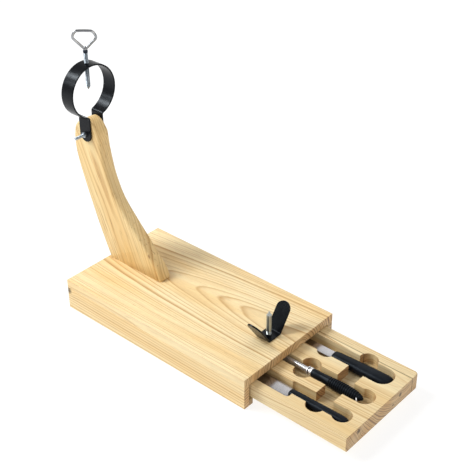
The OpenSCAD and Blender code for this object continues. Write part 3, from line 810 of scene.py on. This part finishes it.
def build_steel(plastic, rod_metal, chrome, dark):
    """The sharpening steel: a ribbed handle, a stepped ferrule, and a rod that narrows at its tip."""
    lo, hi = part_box("steel_handle")
    y, z = (lo.y + hi.y) / 2, (lo.z + hi.z) / 2
    fat = (hi.y - lo.y) / 2
    length = hi.x - lo.x
    profile = []
    for i in range(RIB_ROWS + 1):
        u = i / RIB_ROWS
        r = smoothed(STEEL_GRIP, u) * fat
        if RIBS_FROM < u < RIBS_TO:
            groove = 0.5 + 0.5 * math.cos(2 * math.pi * u * length / RIB_PITCH)
            fade = min(1, (u - RIBS_FROM) / RIB_FADE, (RIBS_TO - u) / RIB_FADE)
            r -= RIB_DEPTH * fade * groove ** 2
        profile.append((u * length, max(r, 0.05 * MM)))
    stand_for(turned("ribbed_grip", profile, (lo.x, y, z), ALONG), plastic, "steel_handle")

    lo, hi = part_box("steel_ferrule")
    start = (lo.x, y, z)
    reach = hi.x - lo.x
    r = (hi.y - lo.y) / 2
    bore = FERRULE_BORE
    flange = [
        (0, bore), (0, r - 0.6 * MM), (0.03, r - 0.15 * MM), (0.07, r), (0.16, r), (0.2, r - 0.2 * MM),
        (0.22, r - 0.8 * MM), (0.22, bore)]
    neck = [(0.19, bore), (0.19, 6.5 * MM), (0.41, 6.5 * MM), (0.41, bore)]
    barrel = [
        (0.38, bore), (0.38, 7.5 * MM), (0.41, 8.0 * MM), (0.48, 8.2 * MM), (0.94, 8.2 * MM),
        (0.99, 8.0 * MM), (1, 7.7 * MM), (1, bore)]
    for name, steps, metal in (
            ("ferrule_flange", flange, chrome),
            ("ferrule_neck", neck, dark),
            ("ferrule_barrel", barrel, chrome)):
        profile = [(u * reach, q) for u, q in steps]
        stand_for(turned(name, profile, start, ALONG), metal, "steel_ferrule")

    tip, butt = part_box("steel_rod")
    r = (butt.y - tip.y) / 2
    run = lo.x - tip.x
    profile = [
        (0, 0.36 * r), (0.6 * MM, 0.5 * r), (4 * MM, 0.8 * r), (8 * MM, r), (run - 12 * MM, r),
        (run - 11 * MM, 0.95 * r), (run + 1 * MM, 0.95 * r)]
    stand_for(turned("grooved_rod", profile, (tip.x, y, z), ALONG, 64, 60), rod_metal, "steel_rod")


HANGING_WIRE = 1.0 * MM
HANGING_TURN = math.radians(-49)


def build_hanging_ring(chrome):
    """The wire ring in the butt of the steel's handle, its plane turned from the handle's own line."""
    lo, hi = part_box("steel_ring")
    middle = (lo + hi) / 2
    wire = HANGING_WIRE
    radius = (hi.z - lo.z) / 2 - wire
    side = Vector((math.cos(HANGING_TURN), math.sin(HANGING_TURN), 0))
    face = Vector((-side.y, side.x, 0))
    rows = []
    for i in range(48):
        a = 2 * math.pi * i / 48
        out = side * math.cos(a) + Vector((0, 0, math.sin(a)))
        rows.append([
            middle + out * (radius + wire * math.cos(b)) + face * wire * math.sin(b)
            for b in (2 * math.pi * k / 12 for k in range(12))])
    stand_for(skin("hanging_ring", rows, loop=True), chrome, "steel_ring")


# ---- Light, floor and camera ----

AIM = (0.05, 0, 0.1)
WHITE = (1, 1, 1)
LIGHTS = (
    ("key_softbox", (-1.75, -0.98, 2.43), 0.75, 1.25, 66, (0.97, 0.985, 1)),
    ("side_softbox", (-1.75, -1.9, 1.7), 0.75, 0.75, 25, (0.96, 0.985, 1)),
    ("top_softbox", (0.5, 1.1, 2.6), 1.6, 1.6, 7, WHITE),
    ("far_panel", (-1.1, 1.6, 1.45), 1.2, 1.2, 4.5, WHITE),
    ("front_softbox", (2.4, -0.4, 1.5), 1.2, 1.2, 11, (1, 0.91, 0.8)),
)


def build_lights():
    """Soft boxes as (name, place, width, height, watts, colour), aimed at the middle of the stand."""
    for name, place, width, height, watts, colour in LIGHTS:
        light = bpy.data.lights.new(name, "AREA")
        light.shape = "RECTANGLE"
        light.size = width
        light.size_y = height
        light.energy = watts
        light.color = colour
        lamp = bpy.data.objects.new(name, light)
        lamp.location = place
        lamp.rotation_euler = (Vector(AIM) - Vector(place)).to_track_quat("-Z", "Y").to_euler()
        bpy.context.scene.collection.objects.link(lamp)


FLOOR_HALF = 60
FLOOR_GAP = 0.05 * MM
FLOOR_GREYS = ((0.25, 0.25, 0.25), (0.27, 0.27, 0.27))


def build_floor():
    """A pale floor that reaches far past the stand, just under its lowest point."""
    s = Shader("pale_floor", Roughness=0.8, Emission_Strength=0.8)
    s.surface.inputs["Specular IOR Level"].default_value = 0.1
    s.surface.inputs["Emission Color"].default_value = (1, 1, 1, 1)
    material = s.look(Base_Color=s.mix(s.noise(3, 3.0), *FLOOR_GREYS))
    bm = bmesh.new()
    bmesh.ops.create_grid(bm, x_segments=1, y_segments=1, size=FLOOR_HALF)
    mesh = bpy.data.meshes.new("floor")
    bm.to_mesh(mesh)
    bm.free()
    mesh.materials.append(material)
    floor = bpy.data.objects.new("floor", mesh)
    floor.location.z = CAD_BOX[0].z - FLOOR_GAP
    bpy.context.scene.collection.objects.link(floor)


SKY_FROM, SKY_TO = 0.1, 0.6
HORIZON_GLOW, TOP_GLOW = 0.6, 0.4


def build_sky():
    """A white sky that is brightest at the horizon and dims with height."""
    world = bpy.data.worlds.new("studio")
    world.use_nodes = True
    nodes, links = world.node_tree.nodes, world.node_tree.links
    height = nodes.new("ShaderNodeSeparateXYZ")
    links.new(nodes.new("ShaderNodeTexCoord").outputs["Generated"], height.inputs[0])
    glow = nodes.new("ShaderNodeMapRange")
    for index, value in enumerate((SKY_FROM, SKY_TO, HORIZON_GLOW, TOP_GLOW), 1):
        glow.inputs[index].default_value = value
    links.new(height.outputs[2], glow.inputs[0])
    links.new(glow.outputs[0], nodes["Background"].inputs["Strength"])
    nodes["Background"].inputs["Color"].default_value = (1, 1, 1, 1)
    bpy.context.scene.world = world
    bpy.context.scene.view_settings.view_transform = "Standard"


CAMERA_PLACE = (1.0748, -1.1210, 1.1980)
CAMERA_HEADING = math.radians(130.98)
CAMERA_DIP = math.radians(32.81)
CAMERA_LENS = 77.06


def build_camera():
    """A long lens off the stand's near front corner, looking down by about 33 degrees."""
    flat = math.cos(CAMERA_DIP)
    ahead = Vector((flat * math.cos(CAMERA_HEADING), flat * math.sin(CAMERA_HEADING), -math.sin(CAMERA_DIP)))
    data = bpy.data.cameras.new("camera")
    data.sensor_width = 36
    data.lens = CAMERA_LENS
    data.clip_end = 50
    camera = bpy.data.objects.new("camera", data)
    camera.location = CAMERA_PLACE
    camera.rotation_euler = ahead.to_track_quat("-Z", "Y").to_euler()
    bpy.context.scene.collection.objects.link(camera)
    bpy.context.scene.camera = camera


# ---- The whole scene ----

build_camera()
build_floor()
build_lights()
build_sky()

black = black_paint()
zinc = plated("zinc_plate", (0.27, 0.31, 0.34), (0.46, 0.51, 0.56), 0.28, 0.42)
wire = plated("bright_wire", (0.18, 0.185, 0.19), (0.46, 0.47, 0.49), 0.06, 0.12,
              brush=(900, 900, 900), relief=0.02)
chrome = plated("polished_ferrule", (0.70, 0.70, 0.71), (0.85, 0.85, 0.86), 0.18, 0.28,
                brush=(300, 300, 300), metallic=0.9, relief=0.02)
# Near-black steel for the handle's collar and for the ferrule's narrow neck.
dark = plated("near_black_collar", (0.02, 0.025, 0.035), (0.07, 0.08, 0.10), 0.28, 0.42)
ground = plated("ground_steel", (0.36, 0.39, 0.38), (0.60, 0.63, 0.61), 0.26, 0.36,
                brush=(600, 600, 20), metallic=0.8, relief=0.03)
steel = plated("blade_steel", (0.42, 0.41, 0.42), (0.52, 0.51, 0.52), 0.20, 0.26,
               brush=(60, 10, 10), relief=0.002)
rod = plated("rod_steel", (0.46, 0.46, 0.47), (0.60, 0.60, 0.61), 0.24, 0.32,
             brush=(15, 700, 700), metallic=0.8, relief=0.03)
plastic = moulded()

build_base()
build_arm()
build_ring(black, zinc)
build_screw(zinc)
build_handle(wire, dark)
build_spike(black, ground)
build_drawer()
build_knives(plastic, steel)
build_steel(plastic, rod, chrome, dark)
build_hanging_ring(chrome)
# These nodes are hidden in the boards. The dowels' pine_runner is the CAD's plain material: the wood of
# that name made in build_base is another one, which Blender numbers.
for node, material in (
        ("base_dowels", bpy.data.materials["pine_runner"]),
        ("arm_screws", zinc),
        ("spike_insert", zinc)):
    NODES[node].data.materials.clear()
    NODES[node].data.materials.append(material)
